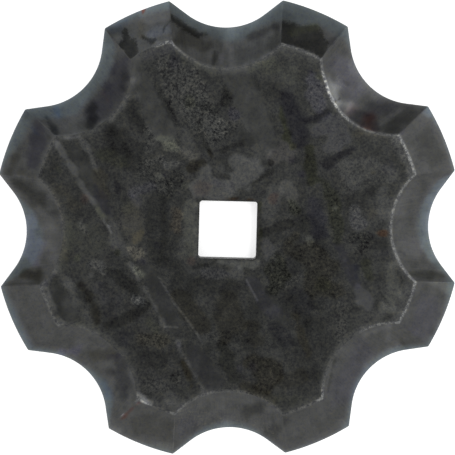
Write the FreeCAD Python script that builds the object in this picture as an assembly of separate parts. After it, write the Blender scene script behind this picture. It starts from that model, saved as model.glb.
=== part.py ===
# Notched harrow disc blade: one flat steel plate with eight round notches in its rim,
# a wide bevel ground on its upper face all round the rim, and a punched square shaft hole.
#
# Frame: the blade lies on its flat back face. The origin is on the blade's axis at that
# face, +Z points up through the bevelled face, and one notch lies on +X. Millimetres.

import FreeCAD, Part
import math
import os

# ---- driving dimensions ---------------------------------------------------------------
blade_diameter = 333.0       # across the cutting arcs of two opposite teeth
plate_thickness = 12.0       # rolled plate, full thickness inside the bevel
edge_land = 1.0              # steel left standing at the cutting edge, below the bevel
notch_count = 8              # notches, evenly spaced round the rim
notch_depth = 23.8           # from the cutting circle in to the bottom of a notch
notch_radius = 45.5          # round bottom of a notch, at the cutting edge
notch_arc_half_angle = 37.2  # degrees of that arc to each side, before the straight flanks
tooth_bevel = 28.3           # width of the bevel over a tooth, along the radius
notch_bevel = 27.4           # width of the bevel at the bottom of a notch, along the radius
notch_ridge_radius = 50.8    # round of the bevel's upper border inside a notch
ridge_arc_half_angle = 28.0  # degrees of that border to each side that face the notch's arc
tooth_corner_radius = 1.2    # worn corner of a tooth, seen from above
ridge_corner_radius = 1.6    # soft corner of the bevel's upper border, seen from above
ridge_break = 1.4            # width of the worn strip along the bevel's upper border
shaft_square = 41.0          # side of the square hole, across its flats
shaft_corner_radius = 2.2    # inside corner of the square hole
shaft_turn = -1.9            # degrees that the punched square is out of turn with the notches
hole_edge_break = 0.4        # chamfer round both mouths of the square hole

# ---- sizes that follow ----------------------------------------------------------------
cutting_radius = blade_diameter / 2
ridge_radius = cutting_radius - tooth_bevel
notch_centre = cutting_radius - notch_depth + notch_radius
notch_ridge_centre = cutting_radius - notch_depth - notch_bevel + notch_ridge_radius
bevel_slope = (plate_thickness - edge_land) / tooth_bevel
break_drop = bevel_slope * ridge_break / 2


# ---- plan geometry, with the notch's middle line on +X ---------------------------------
def on_notch_circle(centre, radius, degrees):
    """A point on the circle about (centre, 0), at this angle from its side facing the hole."""
    angle = math.radians(degrees)
    return FreeCAD.Vector(centre - radius * math.cos(angle), radius * math.sin(angle), 0)


def line_reaches(start, direction, radius):
    """Where a line going outwards reaches the circle of this radius about the blade's axis."""
    along = start.dot(direction)
    reach = math.sqrt(along * along - start.dot(start) + radius * radius) - along
    return start + direction * reach


def circles_cross(centre, radius, about_axis):
    """Where the circle about (centre, 0) crosses the one of radius about_axis, on the +Y side."""
    x = (centre ** 2 - radius ** 2 + about_axis ** 2) / (2 * centre)
    return FreeCAD.Vector(x, math.sqrt(about_axis ** 2 - x ** 2), 0)


def rounded_corner(centre, radius, first, last):
    """First, middle and last point of a tooth's corner round."""
    middle = centre + ((first + last) / 2 - centre).normalize() * radius
    return [first, middle, last]


def cutting_edge_half():
    """Half of a notch at the cutting edge: its bottom, the end of its arc, the corner round."""
    slope = math.radians(notch_arc_half_angle)
    along_flank = FreeCAD.Vector(math.sin(slope), math.cos(slope), 0)
    into_tooth = FreeCAD.Vector(-math.cos(slope), math.sin(slope), 0)
    bottom = on_notch_circle(notch_centre, notch_radius, 0)
    arc_end = on_notch_circle(notch_centre, notch_radius, notch_arc_half_angle)
    inside = arc_end + into_tooth * tooth_corner_radius
    centre = line_reaches(inside, along_flank, cutting_radius - tooth_corner_radius)
    first = centre - into_tooth * tooth_corner_radius
    last = centre * (cutting_radius / centre.Length)
    corner = rounded_corner(centre, tooth_corner_radius, first, last)
    return bottom, arc_end, Part.LineSegment(arc_end, first), corner


def ridge_half(inset):
    """Half of the bevel's upper border in a notch, moved in from its place by this inset."""
    radius = notch_ridge_radius + inset
    tooth_arc = ridge_radius - inset
    bottom = on_notch_circle(notch_ridge_centre, radius, 0)
    arc_end = on_notch_circle(notch_ridge_centre, radius, ridge_arc_half_angle)
    centre = circles_cross(notch_ridge_centre, radius + ridge_corner_radius,
                           tooth_arc - ridge_corner_radius)
    of_notch = FreeCAD.Vector(notch_ridge_centre, 0, 0)
    first = of_notch + (centre - of_notch).normalize() * radius
    last = centre * (tooth_arc / centre.Length)
    corner = rounded_corner(centre, ridge_corner_radius, first, last)
    between = of_notch + ((arc_end + first) / 2 - of_notch).normalize() * radius
    return bottom, arc_end, Part.Arc(arc_end, between, first), corner


def rim_wire(half, tooth_arc, height):
    """The whole closed border at this height, six edges to a notch and its tooth."""
    bottom, arc_end, flank, corner = half
    upper = [flank.toShape(), Part.Arc(*corner).toShape()]
    lower = [edge.mirror(FreeCAD.Vector(), FreeCAD.Vector(0, 1, 0)) for edge in reversed(upper)]
    lower_arc_end = FreeCAD.Vector(arc_end.x, -arc_end.y, 0)
    notch_arc = Part.Arc(lower_arc_end, bottom, arc_end).toShape()

    pitch = math.radians(360.0 / notch_count)
    tooth_middle = FreeCAD.Vector(math.cos(pitch / 2), math.sin(pitch / 2), 0) * tooth_arc
    next_corner = FreeCAD.Rotation(FreeCAD.Vector(0, 0, 1), 360.0 / notch_count).multVec(
        FreeCAD.Vector(corner[2].x, -corner[2].y, 0))
    tooth = Part.Arc(corner[2], tooth_middle, next_corner).toShape()

    edges = []
    for number in range(notch_count):
        for edge in lower + [notch_arc] + upper + [tooth]:
            turned = edge.copy()
            turned.rotate(FreeCAD.Vector(), FreeCAD.Vector(0, 0, 1), number * 360.0 / notch_count)
            turned.translate(FreeCAD.Vector(0, 0, height))
            edges.append(turned)
    return Part.Wire(edges)


# ---- the blade -------------------------------------------------------------------------
def bevelled_plate():
    """Back face, cutting edge, bevel, worn strip along the ridge and the full-thickness face."""
    borders = [
        rim_wire(cutting_edge_half(), cutting_radius, 0),
        rim_wire(cutting_edge_half(), cutting_radius, edge_land),
        rim_wire(ridge_half(-ridge_break / 2), ridge_radius + ridge_break / 2,
                 plate_thickness - break_drop),
        rim_wire(ridge_half(ridge_break / 2), ridge_radius - ridge_break / 2, plate_thickness),
    ]
    return Part.makeLoft(borders, True, True)


def square_punch():
    """The punched square hole, as the solid that it removes."""
    block = Part.makeBox(shaft_square, shaft_square, plate_thickness)
    upright = [edge for edge in block.Edges if abs(edge.tangentAt(0).z) > 0.5]
    block = block.makeFillet(shaft_corner_radius, upright)
    block.translate(FreeCAD.Vector(-shaft_square / 2, -shaft_square / 2, 0))
    block.rotate(FreeCAD.Vector(), FreeCAD.Vector(0, 0, 1), shaft_turn)
    return block


def hole_mouths(blade):
    """The edges round both mouths of the square hole."""
    reach = shaft_square * math.sqrt(0.5)
    return [edge for edge in blade.Edges
            if max(math.hypot(v.X, v.Y) for v in edge.Vertexes) < reach
            and edge.BoundBox.ZLength < hole_edge_break]


def disc_blade():
    blade = bevelled_plate().cut(square_punch())
    blade = blade.makeChamfer(hole_edge_break, hole_mouths(blade))
    return blade.Solids[0]


os.makedirs("parts", exist_ok=True)
disc_blade().exportStep("parts/disc_blade.step")
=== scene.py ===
import math

import bmesh
import bpy
from mathutils import Matrix, Vector, noise


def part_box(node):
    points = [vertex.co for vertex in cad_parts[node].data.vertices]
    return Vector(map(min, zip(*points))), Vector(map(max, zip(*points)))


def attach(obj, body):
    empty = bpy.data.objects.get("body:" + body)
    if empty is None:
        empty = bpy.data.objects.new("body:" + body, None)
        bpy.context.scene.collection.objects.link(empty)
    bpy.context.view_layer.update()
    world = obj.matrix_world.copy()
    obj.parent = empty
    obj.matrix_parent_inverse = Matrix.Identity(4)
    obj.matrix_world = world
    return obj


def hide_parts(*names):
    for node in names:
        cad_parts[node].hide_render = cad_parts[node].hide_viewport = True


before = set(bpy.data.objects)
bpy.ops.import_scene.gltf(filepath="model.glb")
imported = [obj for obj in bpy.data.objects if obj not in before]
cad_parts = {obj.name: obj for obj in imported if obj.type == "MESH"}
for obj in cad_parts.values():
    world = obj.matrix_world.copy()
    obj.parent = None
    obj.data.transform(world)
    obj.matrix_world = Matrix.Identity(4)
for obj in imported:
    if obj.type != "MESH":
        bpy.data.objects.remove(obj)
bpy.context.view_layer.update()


# ---- The blade ---------------------------------------------------------------------------
# One rolled steel plate, lying on its flat back. It is cut to its notched outline, ground to
# a wide bevel all round on its upper face, punched square in the middle and then hardened.

MM = 0.001
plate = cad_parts["disc_blade"]
cutting_radius = max(vertex.co.xy.length for vertex in plate.data.vertices)
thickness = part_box("disc_blade")[1][2]

NOTCHES = 8
EDGE_LAND = 1.0 * MM
NOTCH_RADIUS = 45.5 * MM
NOTCH_CENTRE = cutting_radius - 23.8 * MM + NOTCH_RADIUS
NOTCH_ARC_HALF = math.radians(37.2)
TOOTH_BEVEL = 28.3 * MM
RIDGE_RADIUS = cutting_radius - TOOTH_BEVEL
RIDGE_NOTCH_RADIUS = 50.8 * MM
RIDGE_NOTCH_CENTRE = cutting_radius - (23.8 + 27.4) * MM + RIDGE_NOTCH_RADIUS
RIDGE_ARC_HALF = math.radians(28.0)
TOOTH_CORNER = 1.2 * MM
RIDGE_CORNER = 1.6 * MM
RIDGE_BREAK = 1.4 * MM
HOLE_HALF = 20.5 * MM
HOLE_CORNER = 2.2 * MM
HOLE_TURN = math.radians(-1.9)
HOLE_BREAK = 0.4 * MM

# Edges along half a notch, from its middle line to the middle of the next tooth.
ARC_STEPS = 19
FLANK_STEPS = 10
CORNER_STEPS = 3
TOOTH_STEPS = 16
HALF_STEPS = ARC_STEPS + FLANK_STEPS + CORNER_STEPS + TOOTH_STEPS


def arc_points(centre, start, end, steps):
    """Points along the shorter arc about centre, from after start up to end."""
    first, last = start - centre, end - centre
    turn = first.angle_signed(last) * -1
    points = []
    for step in range(1, steps + 1):
        angle = turn * step / steps
        cos, sin = math.cos(angle), math.sin(angle)
        points.append(centre + Vector((first.x * cos - first.y * sin, first.x * sin + first.y * cos)))
    return points


def half_border(bottom, arc_end, arc_centre, flank, corner_centre, corner_end, radius):
    """Half a notch and half a tooth, from the notch's bottom to the tooth's middle line."""
    points = [bottom] + arc_points(arc_centre, bottom, arc_end, ARC_STEPS) + flank
    points += arc_points(corner_centre, flank[-1], corner_end, CORNER_STEPS)
    middle = Vector((math.cos(math.pi / NOTCHES), math.sin(math.pi / NOTCHES))) * radius
    return points + arc_points(Vector((0, 0)), corner_end, middle, TOOTH_STEPS)


def cutting_border():
    """Half of one pitch of the cutting edge: round bottom, straight flank, worn corner, tooth."""
    centre = Vector((NOTCH_CENTRE, 0))
    cos, sin = math.cos(NOTCH_ARC_HALF), math.sin(NOTCH_ARC_HALF)
    bottom = centre - Vector((NOTCH_RADIUS, 0))
    arc_end = centre + Vector((-cos, sin)) * NOTCH_RADIUS
    along, inward = Vector((sin, cos)), Vector((-cos, sin))
    inside = arc_end + inward * TOOTH_CORNER
    reach = inside.dot(along)
    limit = cutting_radius - TOOTH_CORNER
    corner = inside + along * (math.sqrt(reach ** 2 - inside.length_squared + limit ** 2) - reach)
    flank_end = corner - inward * TOOTH_CORNER
    flank = [arc_end.lerp(flank_end, step / FLANK_STEPS) for step in range(1, FLANK_STEPS + 1)]
    corner_end = corner * (cutting_radius / corner.length)
    return half_border(bottom, arc_end, centre, flank, corner, corner_end, cutting_radius)


def ridge_border(inset):
    """Half of one pitch of the bevel's upper border, moved in from its place by this inset."""
    centre = Vector((RIDGE_NOTCH_CENTRE, 0))
    round_radius, tooth_radius = RIDGE_NOTCH_RADIUS + inset, RIDGE_RADIUS - inset
    bottom = centre - Vector((round_radius, 0))
    arc_end = centre + Vector((-math.cos(RIDGE_ARC_HALF), math.sin(RIDGE_ARC_HALF))) * round_radius
    near, far = round_radius + RIDGE_CORNER, tooth_radius - RIDGE_CORNER
    x = (RIDGE_NOTCH_CENTRE ** 2 - near ** 2 + far ** 2) / (2 * RIDGE_NOTCH_CENTRE)
    corner = Vector((x, math.sqrt(far ** 2 - x ** 2)))
    flank_end = centre + (corner - centre).normalized() * round_radius
    flank = arc_points(centre, arc_end, flank_end, FLANK_STEPS)
    corner_end = corner * (tooth_radius / corner.length)
    return half_border(bottom, arc_end, centre, flank, corner, corner_end, tooth_radius)


def whole_border(half):
    """All round the blade from the middle of the notch on +X, from half of one pitch."""
    pitch = half[:-1] + [Vector((p.x, -p.y)) for p in half[:0:-1]]
    turn = 2 * math.pi / NOTCHES
    after_tooth = len(half) - 1
    points = []
    for number in range(NOTCHES):
        for place, point in enumerate(pitch):
            angle = turn * (number if place < after_tooth else number + 1)
            cos, sin = math.cos(angle), math.sin(angle)
            points.append(Vector((point.x * cos - point.y * sin, point.x * sin + point.y * cos)))
    return points


def square_border(angles, grow):
    """The square hole's border where it faces each of these angles, made larger by grow."""
    half, corner = HOLE_HALF + grow, HOLE_CORNER + grow
    flat = half - corner
    points = []
    for angle in angles:
        local = (angle - HOLE_TURN) % (math.pi / 2)
        fold = local if local <= math.pi / 4 else math.pi / 2 - local
        reach = half / math.cos(fold)
        if reach * math.sin(fold) > flat:
            toward = flat * (math.cos(fold) + math.sin(fold))
            reach = toward + math.sqrt(toward ** 2 - 2 * flat ** 2 + corner ** 2)
        points.append(Vector((math.cos(angle), math.sin(angle))) * reach)
    return points


cutting_edge = whole_border(cutting_border())
ridge = whole_border(ridge_border(0))

# The ridge wanders from facet to facet, because each facet was ground on its own: how far in
# from its place it lies, in mm, by how many notches round the blade from the one on +X.
RIDGE_WANDER = [(0, -0.2), (0.3, 0), (0.66, 0), (1, 0.2), (1.2, -1.2), (1.34, 0.8), (1.66, 1),
                (2, 1.2), (2.3, 0.2), (2.36, -1.6), (2.6, -1.2), (2.7, 0), (3, 0), (3.3, -0.6),
                (3.66, -0.8), (4, -1), (4.3, -0.4), (4.66, 0), (5, -0.8), (5.3, 1.4), (5.66, 1.4),
                (6, 0.4), (6.34, 0.5), (6.66, 0.3), (7, -0.8), (7.34, -0.4), (7.66, -0.2), (8, -0.2)]


def along_table(table, pitch):
    """A value between those of a table of (notches round the blade, value)."""
    for (start, first), (end, last) in zip(table, table[1:]):
        if pitch <= end:
            return first + (last - first) * (pitch - start) / (end - start)
    return table[-1][1]


def ridge_ring(inset):
    """The ridge all round with its wander, moved in by this inset."""
    outer, inner = whole_border(ridge_border(-3 * MM)), whole_border(ridge_border(3 * MM))
    points = []
    for number, (a, b) in enumerate(zip(outer, inner)):
        wander = along_table(RIDGE_WANDER, number / (2 * HALF_STEPS)) * MM
        points.append(a.lerp(b, (wander + inset + 3 * MM) / (6 * MM)))
    return points


ridge_low = ridge_ring(-RIDGE_BREAK / 2)
ridge_high = ridge_ring(RIDGE_BREAK / 2)
facing = [math.atan2(point.y, point.x) for point in ridge]
hole_wall = square_border(facing, 0)
hole_mouth = square_border(facing, HOLE_BREAK)
break_drop = (thickness - EDGE_LAND) / TOOTH_BEVEL * RIDGE_BREAK / 2

# The section through the wall as rings, from the back of the hole out, over and in again. Each
# ring keeps which part of the blade it is and how far it lies from the cutting edge, in mm.
rings, part_of_ring, across_of_ring = [], [], []


def add_rings(part, inner, inner_z, outer, outer_z, steps, across=(0, 0), skip_first=True):
    """Rings from one border and height to another; across is the way from the cutting edge."""
    for step in range(1 if skip_first else 0, steps + 1):
        share = step / steps
        height = inner_z + (outer_z - inner_z) * share
        rings.append([Vector((*a.lerp(b, share), height)) for a, b in zip(inner, outer)])
        part_of_ring.append(part)
        across_of_ring.append(across[0] + (across[1] - across[0]) * share)


BEVEL_WIDTH = TOOTH_BEVEL / MM
INSIDE_BREAK = BEVEL_WIDTH + 1.6
HOLE_ACROSS = 140
add_rings("back", hole_mouth, 0, cutting_edge, 0, 6, skip_first=False)
add_rings("bevel", cutting_edge, 0, cutting_edge, EDGE_LAND, 1)
add_rings("bevel", cutting_edge, EDGE_LAND, ridge_low, thickness - break_drop, 24, (0, BEVEL_WIDTH))
add_rings("face", ridge_low, thickness - break_drop, ridge_high, thickness, 2, (BEVEL_WIDTH, INSIDE_BREAK))
add_rings("face", ridge_high, thickness, hole_mouth, thickness, 66, (INSIDE_BREAK, HOLE_ACROSS))
add_rings("wall", hole_mouth, thickness, hole_wall, thickness - HOLE_BREAK, 1, (HOLE_ACROSS, HOLE_ACROSS))
add_rings("wall", hole_wall, thickness - HOLE_BREAK, hole_wall, HOLE_BREAK, 4, (HOLE_ACROSS, HOLE_ACROSS))
add_rings("back", hole_wall, HOLE_BREAK, hole_mouth, 0, 1)


def grow_ring(ring, places):
    """Extrudes a closed ring of edges and puts the new ring's corners in these places."""
    edges = [bm.edges.get((a, b)) for a, b in zip(ring, ring[1:] + ring[:1])]
    made = set(bmesh.ops.extrude_edge_only(bm, edges=edges)["geom"])
    grown = []
    for vertex, place in zip(ring, places):
        beside = [edge.other_vert(vertex) for edge in vertex.link_edges]
        new = next(other for other in beside if other in made)
        new.co = place
        grown.append(new)
    return grown


def facet_of(place):
    """The facet that a ring's corner lies on: whole for a notch, a half for the tooth after it."""
    pitch, within = divmod(place, 2 * HALF_STEPS)
    corner = ARC_STEPS + FLANK_STEPS + CORNER_STEPS // 2
    if within <= corner:
        return pitch
    return pitch + 0.5 if within <= 2 * HALF_STEPS - corner else (pitch + 1) % NOTCHES


# How wide the blued strip along the cutting edge is, in mm, and how bright the worn line along the ridge
# is with the painted highlight on it, both by notches round the blade from the one on +X.
BLUED_WIDTH = [(0, 9), (0.25, 7), (0.29, 1), (0.55, 0), (0.66, 4), (0.7, 2), (0.75, -2), (1, -1),
               (1.2, 0), (1.28, 5), (1.31, 10), (1.4, 9), (1.47, 8), (1.55, 13), (1.7, 13),
               (1.75, 9), (1.85, 6), (1.95, 11), (2.04, 9), (2.1, 7), (2.3, 8), (2.33, 6), (2.45, 4),
               (2.55, 4), (2.7, 2), (2.71, 12), (2.85, 11), (2.95, 8), (3.04, 9), (3.12, 13),
               (3.28, 11), (3.3, 9), (3.5, 8), (3.6, 2), (3.8, -2), (3.9, 8), (4.05, 14), (4.2, 12),
               (4.28, 2), (4.31, 2), (4.4, 4), (4.7, 4), (4.8, 3), (4.95, 0), (5.1, 7), (5.22, 8),
               (5.28, 1), (5.4, -1), (5.6, 2), (5.7, 1), (5.9, 4), (6.05, 4), (6.2, 1), (6.6, 0),
               (6.68, 4), (6.72, 3), (7, 3), (7.2, 5), (7.28, 3), (7.5, 0), (7.66, 5), (7.7, 6),
               (7.73, 2), (7.82, 6), (8, 9)]
RIDGE_WEAR_AND_HIGHLIGHT = [(0, 0.8), (0.28, 0.9), (0.32, 1.1), (0.5, 1.2), (0.64, 1.1), (0.7, 0.5), (0.93, 0.5),
              (0.96, 1.2), (1.05, 1), (1.06, 1.8), (1.2, 1.8), (1.27, 0.5), (1.33, 0.6), (1.68, 0.6),
              (1.72, 0.3), (2.05, 0.2), (2.1, 0.2), (2.29, 0.4), (2.31, 1.6), (2.44, 1.2),
              (2.5, 0.1), (2.7, 0.05), (3.28, 0), (3.32, 0.3), (3.7, 0.3), (4, 0.35), (4.05, 0.1),
              (4.28, 0.1), (4.32, 0.5), (4.68, 0.6), (4.74, 0.1), (5.27, 0), (5.3, 1.2), (5.41, 1),
              (5.44, 0.3), (5.6, 0.3), (5.63, 0.9), (5.7, 0.9), (5.74, 0.5), (5.85, 0.5), (6.1, 0.5),
              (6.18, 0.3), (6.3, 0.4), (6.62, 0.6), (6.64, 1.3), (6.71, 1.3), (6.74, 0.5),
              (6.88, 0.2), (7.1, 0.2), (7.14, 0.8), (7.28, 0.8), (7.31, 1.3), (7.5, 0.9),
              (7.69, 1.3), (7.74, 0.8), (8, 0.8)]

# What each corner keeps of the finish and of the painted light. Ground, lined, foot, across and worn say
# where it is on the bevel, worn also how bright the painted highlight on the ridge is; strip, dark, run
# and seam how deep in a mark it lies, in mm, seam also on the painted highlights where facets meet; the
# others add up, and tone does in steps of 255, on the bevel also as painted highlights and painted shade.
LAYERS = ["ground", "lined", "foot_x", "foot_y", "across", "worn", "strip", "tone", "brown", "olive",
          "violet", "sky", "rust", "coarse", "fleck", "dark", "run", "seam"]
DEPTH_LAYERS = ("dark", "run", "seam")
NOT_MARKED = -9.0
TOOTH_LINES = 0.4
bm = bmesh.new()
layers = {name: bm.verts.layers.float.new(name) for name in LAYERS}
first_ring = bmesh.ops.create_circle(bm, cap_ends=False, radius=1, segments=len(ridge))["verts"]
for vertex, place in zip(first_ring, rings[0]):
    vertex.co = place
ring = first_ring
parts = {}
for places, part, across in zip(rings[1:], part_of_ring[1:], across_of_ring[1:]):
    ring = grow_ring(ring, places)
    for place, vertex in enumerate(ring):
        vertex[layers["ground"]] = 1.0 if part == "bevel" else 0.0
        vertex[layers["lined"]] = 0.0
        if part == "bevel":
            vertex[layers["lined"]] = 1.0 if facet_of(place) % 1 == 0 else TOOTH_LINES
        vertex[layers["foot_x"]], vertex[layers["foot_y"]] = cutting_edge[place] / MM
        vertex[layers["across"]] = across
        # Worn: how worn the ridge is and how bright the painted highlight on it is, round the blade.
        vertex[layers["worn"]] = along_table(RIDGE_WEAR_AND_HIGHLIGHT, place / (2 * HALF_STEPS))
        vertex[layers["strip"]] = along_table(BLUED_WIDTH, place / (2 * HALF_STEPS)) - across
        for name in DEPTH_LAYERS:
            vertex[layers[name]] = NOT_MARKED
        if part in ("bevel", "face"):
            name = facet_of(place) if part == "bevel" else "face"
            parts.setdefault(name, []).append((vertex, vertex.co.x / MM, vertex.co.y / MM))


WANDER_LENGTH = 7


def mark(part, line, soft=3, wander=3, **amounts):
    """Marks one part along a line of (x, y, half width) in mm, whose border wanders by up to so
    much. Dark, run and seam keep how deep a corner lies in the mark; the others add up, and
    fade out over soft."""
    if len(line) == 1:
        line = line * 2
    reach = max(width for x, y, width in line) + max(soft, -NOT_MARKED)
    low_x, high_x = min(p[0] for p in line) - reach, max(p[0] for p in line) + reach
    low_y, high_y = min(p[1] for p in line) - reach, max(p[1] for p in line) + reach
    spans = [(Vector(a[:2]), Vector(b[:2]), a[2], b[2]) for a, b in zip(line, line[1:])]
    for vertex, x, y in parts[part]:
        if not (low_x < x < high_x and low_y < y < high_y):
            continue
        depth = -99.0
        here = Vector((x, y))
        for start, end, first, last in spans:
            along = end - start
            share = (here - start).dot(along) / max(along.length_squared, 1e-9)
            share = min(max(share, 0.0), 1.0)
            gap = (here - start - along * share).length
            depth = max(depth, first + (last - first) * share - gap)
        if wander:
            depth += wander * noise.noise(Vector((x, y, 0)) / WANDER_LENGTH)
        for name, amount in amounts.items():
            if name in DEPTH_LAYERS:
                vertex[layers[name]] = max(vertex[layers[name]], depth)
            else:
                fade = min(max(depth / soft + 0.5, 0.0), 1.0)
                vertex[layers[name]] += amount * fade * fade * (3 - 2 * fade)


# Upper left of the face: the band inside the ridge, a smooth streak and the scale between.
mark("face", [(-65, 122, 3.6), (-65, 108, 3.6), (-67, 99, 3.6)], soft=4, tone=8)
mark("face", [(-64, 121, 3.6), (-64, 108, 4.3), (-67, 99, 2.8)], run=1, wander=1)
mark("face", [(-71, 94, 2.8), (-77, 87, 2.8), (-84, 79, 2.1)], tone=13, coarse=0.3)
mark("face", [(-66.6, 105.1, 1.6)], soft=2, tone=10)
upper_left_streak = [(-60, 109, 4.3), (-57, 99, 6), (-53, 89, 7.7), (-49, 80, 8.5), (-45, 72, 8.9)]
mark("face", upper_left_streak, run=1, wander=1)
mark("face", upper_left_streak, tone=6)
mark("face", [(-63.1, 96.6, 1.1), (-60.3, 86.7, 1.1), (-56.7, 78.1, 1.1)], soft=2, tone=6)
mark("face", [(-69.5, 92.3, 0.7), (-67, 87, 2.8), (-64, 80, 3.6), (-60, 72, 1.8)], soft=5, tone=-11)
mark("face", [(-89, 78, 4.3), (-82, 67, 5.7), (-78, 57, 5.7)], soft=6, tone=-8)
mark("face", [(-85, 70, 4.3), (-75, 65, 8.5), (-68, 57, 8.5), (-69, 50, 7.1)], tone=-7)
mark("face", [(-72, 61, 2.1), (-69, 53, 2.1)], tone=-9)
mark("face", [(-82, 70, 2.1), (-75, 69, 2.1)], tone=-6)
mark("face", [(-89, 55, 4.3), (-75, 49, 5)], soft=4, olive=0.5)
mark("face", [(-54, 70, 3.6), (-55, 57, 3.6)], tone=4, coarse=0.9)
mark("face", [(-47, 65, 2.8), (-41, 61, 4.3), (-37, 58, 2.8)], tone=22, olive=0.5, coarse=1)
mark("face", [(-40, 61, 2.1)], soft=2, tone=12, olive=0.3)
mark("face", [(-56, 50, 2.8), (-48, 50, 2.8)], tone=3, coarse=1.2)
mark("face", [(-43, 46, 2.1), (-31, 48, 2.1)], soft=2.5, tone=14, coarse=0.8)
mark("face", [(-30, 53, 3.6), (-23, 54, 3.6)], tone=15, brown=0.25, coarse=0.4)
mark("face", [(-44, 119, 5.7), (-31, 104, 14.2), (-23, 89, 12.8), (-11, 71, 10)],
     soft=6, tone=4, coarse=1.1)
mark("face", [(-31, 70, 3.6), (-28, 60, 5), (-25, 51, 2.1)], soft=4, tone=9)
mark("face", [(-49.6, 102.3, 1.1), (-45, 94, 1.8), (-40, 84, 2.5), (-36, 76, 2.1)],
     soft=2, tone=-10, coarse=0.5)
mark("face", [(-37, 119, 4.3)], soft=4, tone=-2, violet=0.5)
mark("face", [(-21, 77, 2.1), (-18, 68, 2.8)], tone=-7)
mark("face", [(-27, 92, 4.3)], soft=4, olive=0.4)

# Two pale streaks on the left and the stained scale between them.
left_streak = [(-120, 63, 2.1), (-116, 55, 2.3), (-111, 47, 2.3), (-105, 37, 2), (-99.3, 27, 1.6),
               (-94.3, 19.2, 1.6)]
mark("face", left_streak, soft=2, tone=21)
mark("face", left_streak, run=1, wander=0)
mark("face", [(-115, 48, 2.8)], tone=3, sky=0.3)
mark("face", [(-92, 16, 2.1), (-89, 10, 1.8)], soft=2, tone=19, olive=0.6, coarse=1)
mark("face", [(-87.9, 7.9, 0.9), (-82.3, -1.3, 0.8)], seam=1, wander=0)
mark("face", [(-84.4, 3.6, 0.6)], soft=1.5, tone=45)
mark("face", [(-117.7, 65.4, 1.4), (-105, 67, 1.7), (-101, 63, 1.7), (-97.9, 56.8, 1.6),
     (-95, 49.8, 1.3), (-92.2, 42.7, 0.9)], soft=2, tone=20)
mark("face", [(-108, 57, 4.3), (-101, 43, 5.7), (-92, 25, 5.7), (-86, 13, 5)], run=1, wander=1)
mark("face", [(-111, 58, 3.6), (-104, 53, 3.6)], tone=-2)
mark("face", [(-99, 41, 5.7), (-91, 24, 5.7), (-86, 13, 4.3)], tone=3)
mark("face", [(-101, 23, 2.8)], soft=2.5, rust=0.3)
mark("face", [(-94, 31, 2.1), (-86, 16, 3.6)], soft=2.5, tone=-2, violet=0.7)
mark("face", [(-91, 40, 4.3), (-87, 27, 3.6)], brown=0.5)
mark("face", [(-126, 40, 5), (-121, 28, 3.6)], soft=4, tone=-2)
mark("face", [(-117, 31, 2.8), (-108, 18, 4.3)], soft=4, tone=2, brown=0.35)
mark("face", [(-119, 44, 2.1)], tone=2, olive=0.5)

# Between the streaks and the hole.
mark("face", [(-68, 28, 2.8), (-58, 31, 4.3), (-52, 31, 2.8)], soft=2.5, tone=10, violet=0.5, coarse=0.7)
mark("face", [(-64, 21, 3.6)], tone=8, violet=0.4)
mark("face", [(-78.4, 34.1, 1.6), (-78, 26.3, 1.6)], soft=2, tone=-17, violet=0.6)
mark("face", [(-68, 13, 7.8), (-67, -1, 7.8)], tone=9, brown=0.3)
mark("face", [(-71, 16, 4.3)], soft=4, olive=0.3)
mark("face", [(-63, -4, 4.3)], soft=2.5, tone=7, brown=0.6)
mark("face", [(-71, -13, 2.1), (-64, -16, 4.3)], soft=2.5, tone=19, brown=0.5, coarse=1)
mark("face", [(-78, -16, 2.8)], soft=2, tone=-14, olive=0.5)
mark("face", [(-50, 20, 7.1), (-50, -7, 7.1), (-51, -17, 5.7)], soft=2.5, tone=-8, wander=1)
mark("face", [(-50, -11, 2.8)], violet=0.5)
mark("face", [(-57, 43, 7.1), (-45, 31, 5.7)], soft=5, tone=-4, coarse=0.8)
mark("face", [(-47.5, 38.4, 1.4)], soft=2, tone=22, olive=0.3)
mark("face", [(-43.9, 39.1, 1.1)], soft=1.5, tone=-8, violet=1)
mark("face", [(-105, 6, 2.1), (-101, 0, 2.1)], soft=2.5, tone=11, coarse=1)
mark("face", [(-106, -18, 2.8)], soft=2.5, tone=10, olive=0.7, coarse=0.6)
mark("face", [(-99, -24, 2.8), (-91, -24, 3.6), (-89, -29, 2.1)], soft=2.5, tone=14, coarse=1)
mark("face", [(-97.2, -31.2, 1.4)], soft=2, tone=13)
mark("face", [(-109, -3, 11.4), (-94, -7, 10)], soft=8, tone=6, olive=0.2)
mark("face", [(-114, 11, 2.8), (-113, -11, 2.8), (-118, -27, 2.8)], tone=5, olive=0.2)
mark("face", [(-82, -7, 5)], soft=4, tone=5)

# Lower left: the framed patch by the ridge, the square of dark scale and a smooth streak.
mark("face", [(-128.4, -40.4, 0.7), (-124.8, -49.6, 0.8), (-120.6, -58.8, 1), (-117, -65.2, 1)],
     soft=1.5, tone=20)
mark("face", [(-122, -44, 5.7), (-116, -54, 7.1), (-112, -59, 5.7)], run=1, wander=0)
mark("face", [(-112, -38, 2.8), (-108, -48, 2.8), (-102, -58, 2.8), (-98, -65, 2.1)], tone=11)
mark("face", [(-119.2, -68.2, 1), (-105, -69.6, 1), (-92.9, -73, 0.7)], soft=2, tone=12)
mark("face", [(-104, -38, 2.1), (-99, -46, 2.5), (-95, -55, 2.8), (-93, -64, 2.1)],
     soft=2.5, tone=-13, brown=0.4)
mark("face", [(-89, -43, 5.7), (-82, -50, 7.1), (-84, -58, 5)], tone=-4, violet=0.3)
mark("face", [(-85, -28, 2.1), (-77, -33, 5), (-69, -39, 4.3), (-65, -44, 2.1)], dark=1, wander=2)
mark("face", [(-74, -50, 5.7), (-78, -55, 4.3)], tone=3)
mark("face", [(-67, -48, 2.1), (-62, -50, 3.6)], soft=2.5, tone=13, fleck=0.7, coarse=1, sky=0.1)
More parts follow.
